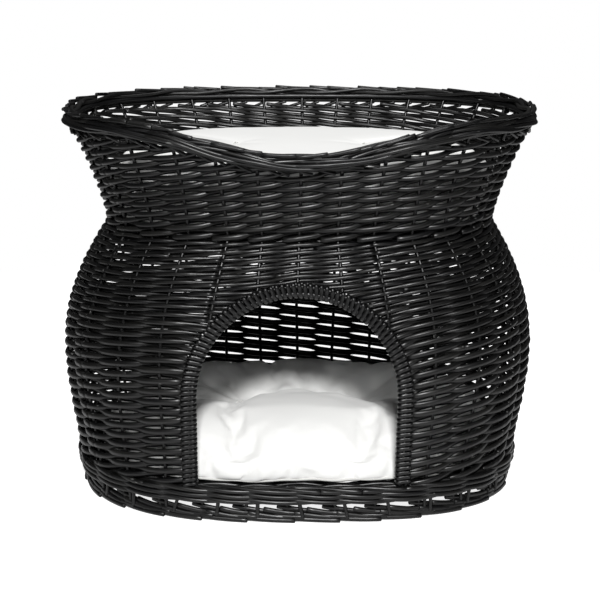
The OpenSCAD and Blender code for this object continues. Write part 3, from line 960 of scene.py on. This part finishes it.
def stitch_rods(rods, tree):
    """Crossed thread stitches at the bottom of each tuft."""
    for side in (-1, 1):
        hit = tree.ray_cast(Vector((side * TUFT_X, 0, 1)), Vector((0, 0, -1)))[0]
        for turn in (0.4, 1.9):
            t = np.linspace(-1, 1, 7)
            x = hit[0] + STITCH_HALF * t * math.cos(turn)
            y = hit[1] + STITCH_HALF * t * math.sin(turn)
            z = hit[2] + (1.6 - 1.4 * t * t) * MM
            rods.add(np.stack([x, y, z], axis=-1), THREAD_R, [0, 0, 1.0], 0.5)


def build_cushion(level, seam_up, top, boxy, slack, seed):
    """Padded cushion with its welt and stitches; the seam runs seam_up over the bottom."""
    node = level + "_cushion"
    body = node + "_body"
    lo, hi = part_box(node)
    half_w, half_d = (hi[0] - lo[0]) / 2, (hi[1] - lo[1]) / 2
    seam_z = lo[2] + seam_up
    obj = pillow("padded_" + node, half_w - 3 * MM, half_d - 2 * MM, seam_z, lo[2] + 1 * MM, top, boxy)
    start = coords(obj.data)
    x, y, z = start.T
    held = z < lo[2] + 4 * MM
    held |= (np.hypot(np.abs(x) - TUFT_X, y) < TUFT_R) & (z > seam_z)
    if level == "lower":
        held |= (np.abs(x) < TUFT_X) & (np.abs(y - fold_y(x)) < FOLD_HALF) & (z > seam_z)
    blown = inflate(obj, held, SWELL_CAP, slack)
    blown = keep_within(blown, half_w, half_d, lo[2], hi[2])
    obj.data.vertices.foreach_set("co", blown.ravel())
    obj.data.update()
    obj.data.polygons.foreach_set("use_smooth", np.ones(len(obj.data.polygons), bool))
    obj.data.materials.clear()
    obj.data.materials.append(COTTON)
    obj.modifiers.new("smooth", "SUBSURF").levels = 1
    obj.modifiers["smooth"].render_levels = 1
    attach(obj, body)
    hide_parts(node)

    tree = BVHTree.FromObject(obj, bpy.context.evaluated_depsgraph_get())
    # The welt and the stitches get the darker cotton, painted shade of the seam crease and the tuft
    # hollows.
    welt = Rods(8)
    seam_rod(welt, tree, half_w, half_d, seam_z, seed)
    welt.piece("welt_" + node, SHADED_SEAM_COTTON, body, [node + "_piping"], "cushion_seam")
    stitches = Rods(6)
    stitch_rods(stitches, tree)
    stitches.piece("stitches_" + node, SHADED_SEAM_COTTON, body, [node + "_tufts"], "cushion_seam")


# ---- Stage --------------------------------------------------------------------------

FLOOR_R = 1.1
AMBIENT = 0.055
AIM = (0, 0, 0.2)
# Of each lamp: name, place, size in metres, power in watts
LAMPS = (("key", (0.08, -2.4, 2.0), 0.4, 114), ("top", (0.1, 0.3, 2.2), 0.8, 13))
CAMERA_AT, CAMERA_AIM, CAMERA_LENS = (0, -1.45, 0.595), (0, 0, 0.201), 76.7


def build_stage():
    """Round pale floor that ends before the horizon, so the backdrop stays plain."""
    mesh = bpy.data.meshes.new("stage_floor")
    turn = np.linspace(0, 2 * math.pi, 96, endpoint=False)
    rim = [(FLOOR_R * math.cos(a), FLOOR_R * math.sin(a), 0) for a in turn]
    mesh.from_pydata(rim, [], [tuple(range(len(rim)))])
    floor = bpy.data.objects.new("stage_floor", mesh)
    bpy.context.scene.collection.objects.link(floor)
    material, tree, shader = new_material("stage_pale")
    shader.inputs["Base Color"].default_value = (0.85, 0.85, 0.85, 1)
    shader.inputs["Roughness"].default_value = 0.9
    shader.inputs["Emission Color"].default_value = (1, 1, 1, 1)
    ray = tree.nodes.new("ShaderNodeLightPath")
    glow = tree.nodes.new("ShaderNodeMapRange")
    glow.inputs["To Min"].default_value = 0.1
    glow.inputs["To Max"].default_value = 0.85
    tree.links.new(ray.outputs["Is Camera Ray"], glow.inputs["Value"])
    tree.links.new(glow.outputs["Result"], shader.inputs["Emission Strength"])
    mesh.materials.append(material)
    floor.location.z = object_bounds()[0][2] - 0.2 * MM


def build_lights():
    """White backdrop that lights the room weakly, a soft lamp in front, a wide one above."""
    world = bpy.data.worlds.new("studio")
    bpy.context.scene.world = world
    world.use_nodes = True
    bpy.context.scene.view_settings.view_transform = "Standard"
    nodes, links = world.node_tree.nodes, world.node_tree.links
    room = nodes["Background"]
    room.inputs["Color"].default_value = (1, 1, 1, 1)
    room.inputs["Strength"].default_value = AMBIENT
    seen = nodes.new("ShaderNodeBackground")
    seen.inputs["Color"].default_value = (1, 1, 1, 1)
    seen.inputs["Strength"].default_value = 1.0
    ray = nodes.new("ShaderNodeLightPath")
    mix = nodes.new("ShaderNodeMixShader")
    links.new(ray.outputs["Is Camera Ray"], mix.inputs["Fac"])
    links.new(room.outputs["Background"], mix.inputs[1])
    links.new(seen.outputs["Background"], mix.inputs[2])
    links.new(mix.outputs["Shader"], nodes["World Output"].inputs["Surface"])
    for name, place, size, power in LAMPS:
        light = bpy.data.lights.new(name, "AREA")
        light.size = size
        light.energy = power
        lamp = bpy.data.objects.new(name, light)
        bpy.context.scene.collection.objects.link(lamp)
        lamp.location = place
        aim_at(lamp, AIM)


def aim_at(obj, target):
    away = obj.location - Vector(target)
    obj.rotation_euler = away.to_track_quat("Z", "Y").to_euler()


def build_camera():
    camera = bpy.data.cameras.new("camera")
    camera.sensor_width = 36
    camera.lens = CAMERA_LENS
    eye = bpy.data.objects.new("camera", camera)
    bpy.context.scene.collection.objects.link(eye)
    eye.location = CAMERA_AT
    aim_at(eye, CAMERA_AIM)
    bpy.context.scene.camera = eye


CAD_STICKS = (
    "base_long_sticks",
    "base_cross_sticks",
    "shelf_frame",
    "shelf_long_sticks",
    "shelf_cross_sticks",
)

build_camera()
build_lights()
build_stage()
weave_cave()
weave_bed()
build_stakes()
build_wales()
build_foot()
build_foot_tips()
build_border()
build_rim_tips()
build_door()
build_floor("base_weave")
build_floor("shelf_weave")
for node in CAD_STICKS:
    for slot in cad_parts[node].material_slots:
        slot.material = WILLOW_STICK
build_cushion("lower", 5 * MM, lower_top, 0.6, 0.07, 3)
build_cushion("upper", 34 * MM, upper_top, 0.16, 0.06, 4)
